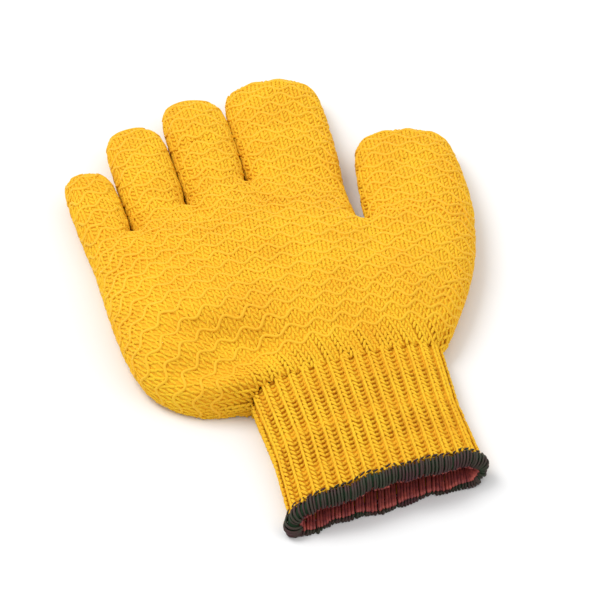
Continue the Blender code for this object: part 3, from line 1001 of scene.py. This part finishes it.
class GLOVE_OT_rib_cuff(bpy.types.Operator):
    """Knits the ribbed cuff: its ribbed wall, and a column of stitches on each rib"""

    bl_idname = "glove.rib_cuff"
    bl_label = "Rib cuff"

    def execute(self, context):
        knit = context.scene.glove_knit
        cuff = context.scene.glove_cuff
        draw = np.random.default_rng(SEED + 1)
        fine = 10
        count = cuff.ribs * fine
        wave = np.cos(2 * np.pi * np.arange(count) / fine)
        outer = []
        inner = []
        crests = wave * cuff.depth / 2 - SKIN_INSET
        for along in np.linspace(-0.045, 1.0, 42):
            sway = 0.0002 * math.sin(along * 17) + 0.00015 * math.sin(along * 41 + 1)
            outer.append(cuff_ring(along, count, crests - SKIN_INSET * 0.7 + sway))
            ring = cuff_ring(along, count, np.full(count, -0.0021) + wave * 0.0002)
            ring[:, 2] = np.maximum(ring[:, 2], 0.0013)
            inner.append(ring)
        dye = tuple(knit.colour)
        # The ribbed wall is the yarn's colour darkened a little: painted shade under the stitches and purls.
        ground = yarn_material("shaded_rib_ground", deeper(dye, 0.97), deeper(dye, 0.84), sheen=0.1)
        wall = tubes("cuff_skin", [outer + inner[::-1]], closed=True)
        add_piece("cuff_skin", wall, ground, ("rib_cuff",))
        places, axes, purls, purl_axes = [], [], [], []
        rows = int(CUFF_LENGTH / cuff.course)
        step = 0.004
        for row in range(-1, rows):
            along = (row + 0.5) / rows
            ring = cuff_ring(along, count, crests)
            before = cuff_ring(min(along + step, 1.0), count, crests)
            after = cuff_ring(along - step, count, crests)
            crest = np.arange(cuff.ribs) * fine
            across = unit(np.roll(ring, -1, axis=0) - np.roll(ring, 1, axis=0))[crest]
            upward = unit(after - before)[crest]
            outward = unit(np.cross(across, upward))
            upward = np.cross(outward, across)
            legs = both_legs(ring[crest], across, upward, outward, draw)
            places.append(legs[0])
            axes.append(legs[1])
            valley = crest + fine // 2
            across = unit(np.roll(ring, -1, axis=0) - np.roll(ring, 1, axis=0))[valley]
            upward = unit(after - before)[valley]
            outward = unit(np.cross(across, upward))
            tilt = draw.normal(0.0, 0.12, len(valley))[:, None]
            upward = np.cross(outward, across)
            purls.append(ring[valley] + outward * draw.normal(0.00005, 0.00006, len(valley))[:, None])
            purl_axes.append(np.stack([across + tilt * upward, upward - tilt * across, outward], axis=1))
        leg = stitch_leg(knit)
        mesh = scatter("cuff_stitches", leg, np.concatenate(places), np.concatenate(axes))
        leg.free()
        material = yarn_material("rib_yarn", dye, deeper(dye, 0.82), twist=0.5)
        add_piece("cuff_stitches", mesh, material)
        bead = yarn_bead(0.0023, knit.yarn, knit.yarn * 0.8)
        mesh = scatter("cuff_purls", bead, np.concatenate(purls), np.concatenate(purl_axes))
        bead.free()
        add_piece("cuff_purls", mesh, material)
        return {"FINISHED"}


class GLOVE_OT_overlock_hem(bpy.types.Operator):
    """Binds the mouth with a roll of dark thread, wrapped thread by thread"""

    bl_idname = "glove.overlock_hem"
    bl_label = "Overlock hem"

    def execute(self, context):
        hem = context.scene.glove_hem
        draw = np.random.default_rng(SEED + 2)
        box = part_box("overlock_hem")
        ring = spline_ring(cuff_controls(CUFF_SECTIONS[-1]), 320)
        middle = WRIST_Y - 2 * SEAT - CUFF_LENGTH - HEM_WIDTH / 2
        thick = 0.0044

        def at(index, out, down):
            """A point of the roll's section, round the mouth at this share of the ring."""
            place = np.mod(index, 1.0) * len(ring)
            low = int(place) % len(ring)
            here = blend(ring[low], ring[(low + 1) % len(ring)], place % 1)
            ahead = unit(ring[(low + 1) % len(ring)] - ring[low - 1])
            turn = 2 * math.pi * index
            out = out + 0.00035 * math.sin(7 * turn) + 0.00025 * math.sin(17 * turn + 1)
            down = down + 0.0007 * math.sin(5 * turn + 0.5) + 0.0003 * math.sin(13 * turn)
            x, z = here + np.array([-ahead[1], ahead[0]]) * out
            corner = max(0.0, 1 - (x + WRIST_WIDTH / 2) / 0.012) ** 2
            x -= 0.0020 * corner
            return [x, middle + down + SLANT * x, max(z * (1 - 0.25 * corner), hem.thread / 2)]

        rings = []
        for side in range(14):
            angle = 2 * math.pi * side / 14
            out = -0.0011 + math.cos(angle) * (thick / 2 - hem.thread * 0.6)
            down = math.sin(angle) * (HEM_WIDTH / 2 - hem.thread * 0.6)
            rings.append(np.array([at(i / 160, out, down) for i in range(160)]))
        dark = tuple(hem.dark)
        warm = tuple(hem.warm)
        ground = yarn_material("hem_ground", dark, deeper(dark), sheen=0.05)
        add_piece("hem_roll", tubes("hem_roll", [rings], closed=True), ground, ("overlock_hem",))
        length = np.linalg.norm(np.diff(np.vstack([ring, ring[:1]]), axis=0), axis=1).sum()
        total = int(length / hem.pitch)
        outer_lines, inner_lines = [], []
        for number in range(total):
            start = (number + draw.normal(0, 0.12)) / total
            slope = 1.2 / total
            puff = 1 + draw.normal(0, 0.07)
            outer_lines.append([
                at(start + slope * turn, -0.0011 + math.cos(turn * math.pi) * thick / 2 * puff,
                   math.sin(turn * math.pi) * HEM_WIDTH / 2 * puff)
                for turn in np.linspace(-0.84, 0.66, 14)
            ])
            puff = 1 + draw.normal(0, 0.07)
            inner = [
                at(start + slope * turn, -0.0011 + math.cos(turn * math.pi) * thick / 2 * puff,
                   math.sin(turn * math.pi) * HEM_WIDTH / 2 * puff)
                for turn in np.linspace(-0.70, -1.0, 4)
            ]
            inner += [
                at(start - slope * (1 + deep * 150), -0.0011 - thick / 2 - 0.0001, deep)
                for deep in np.linspace(0.001, 0.0125 + draw.normal(0, 0.0008), 7)
            ]
            inner_lines.append(inner)
        for name, lines, full, material in (
            ("hem_outer_threads", outer_lines, 1.0,
             yarn_material("hem_dark_thread", dark, (0.085, 0.014, 0.030), patch=150.0, roughness=0.5, sheen=0.0)),
            ("hem_inner_threads", inner_lines, 1.35,
             yarn_material("hem_warm_thread", warm, (0.105, 0.020, 0.038), patch=420.0, roughness=0.42, sheen=0.0)),
        ):
            runs = [thread_rings(np.array(line), hem.thread * full * draw.uniform(0.9, 1.12)) for line in lines]
            add_piece(name, tubes(name, runs), material)
        stitches = total // 2
        edge = HEM_WIDTH / 2 + 0.0005
        spots = np.array([at(i / stitches, 0.0004, edge + draw.normal(0, 0.0002)) for i in range(stitches)])
        across = unit(np.roll(spots, -1, axis=0) - np.roll(spots, 1, axis=0))
        upward = np.tile([0.0, 1.0, 0.0], (stitches, 1))
        outward = unit(np.cross(across, upward))
        axes = np.stack([across + 0.3 * upward, upward, outward], axis=1)
        bead = yarn_bead(0.0024, hem.thread * 0.9, hem.thread * 0.9)
        mesh = scatter("hem_needle_stitches", bead, spots, axes)
        bead.free()
        add_piece("hem_needle_stitches", mesh, bpy.data.materials["hem_dark_thread"])
        return {"FINISHED"}


class GLOVE_OT_stage(bpy.types.Operator):
    """Sets the pale floor, the soft light and the camera"""

    bl_idname = "glove.stage"
    bl_label = "Stage"

    def execute(self, context):
        stage = context.scene.glove_stage
        bm = bmesh.new()
        bmesh.ops.create_grid(bm, x_segments=1, y_segments=1, size=3.0)
        mesh = bpy.data.meshes.new("floor")
        bm.to_mesh(mesh)
        bm.free()
        floor = bpy.data.objects.new("floor", mesh)
        context.scene.collection.objects.link(floor)
        material = bpy.data.materials.new("pale_floor")
        material.use_nodes = True
        shader = material.node_tree.nodes["Principled BSDF"]
        shader.inputs["Base Color"].default_value = (0.86, 0.86, 0.86, 1.0)
        shader.inputs["Roughness"].default_value = 0.9
        shader.inputs["Specular IOR Level"].default_value = 0.1
        mesh.materials.append(material)

        world = bpy.data.worlds.new("studio")
        world.use_nodes = True
        world.node_tree.nodes["Background"].inputs["Color"].default_value = (1.0, 1.0, 1.0, 1.0)
        world.node_tree.nodes["Background"].inputs["Strength"].default_value = 0.80
        context.scene.world = world

        target = Vector((-0.006, -0.010, 0.004))
        for name, offset, size, power in (
            ("key", (-0.7, 0.5, 1.3), 0.9, 13.5),
            ("fill", (1.0, -0.9, 1.0), 1.4, 5.0),
        ):
            data = bpy.data.lights.new(name, "AREA")
            data.shape = "SQUARE"
            data.size = size
            data.energy = power
            lamp = bpy.data.objects.new(name, data)
            lamp.location = target + Vector(offset)
            lamp.rotation_euler = (-Vector(offset)).to_track_quat("-Z", "Y").to_euler()
            context.scene.collection.objects.link(lamp)

        aim = Vector((
            math.sin(stage.azimuth) * math.cos(stage.elevation),
            math.cos(stage.azimuth) * math.cos(stage.elevation),
            -math.sin(stage.elevation),
        ))
        data = bpy.data.cameras.new("camera")
        data.lens = data.sensor_width * stage.distance / stage.field
        camera = bpy.data.objects.new("camera", data)
        camera.location = target - aim * stage.distance
        camera.rotation_euler = aim.to_track_quat("-Z", "Y").to_euler()
        context.scene.collection.objects.link(camera)
        context.scene.camera = camera
        context.scene.view_settings.view_transform = "Standard"
        return {"FINISHED"}


class GLOVE_PT_panel(bpy.types.Panel):
    """Lists the glove's pieces and their sizes"""

    bl_idname = "GLOVE_PT_panel"
    bl_label = "Grip glove"
    bl_space_type = "VIEW_3D"
    bl_region_type = "UI"
    bl_category = "Glove"

    def draw(self, context):
        for group, properties in GROUPS:
            for key in group.__annotations__:
                self.layout.prop(getattr(context.scene, properties), key)
        for operator in OPERATORS:
            self.layout.operator(operator.bl_idname)


GROUPS = (
    (KnitSizes, "glove_knit"),
    (GripSizes, "glove_grip"),
    (CuffSizes, "glove_cuff"),
    (HemSizes, "glove_hem"),
    (StageSizes, "glove_stage"),
)
OPERATORS = (
    GLOVE_OT_stage,
    GLOVE_OT_hand_skin,
    GLOVE_OT_hand_stitches,
    GLOVE_OT_grip_lines,
    GLOVE_OT_rib_cuff,
    GLOVE_OT_overlock_hem,
)


def register():
    for group, properties in GROUPS:
        bpy.utils.register_class(group)
        setattr(bpy.types.Scene, properties, PointerProperty(type=group))
    for made in OPERATORS + (GLOVE_PT_panel,):
        bpy.utils.register_class(made)


def unregister():
    for made in (GLOVE_PT_panel,) + OPERATORS[::-1]:
        bpy.utils.unregister_class(made)
    for group, properties in GROUPS[::-1]:
        delattr(bpy.types.Scene, properties)
        bpy.utils.unregister_class(group)


def main():
    register()
    bpy.ops.glove.stage()
    bpy.ops.glove.hand_skin()
    bpy.ops.glove.hand_stitches()
    bpy.ops.glove.grip_lines()
    bpy.ops.glove.rib_cuff()
    bpy.ops.glove.overlock_hem()


if __name__ == "__main__":
    main()
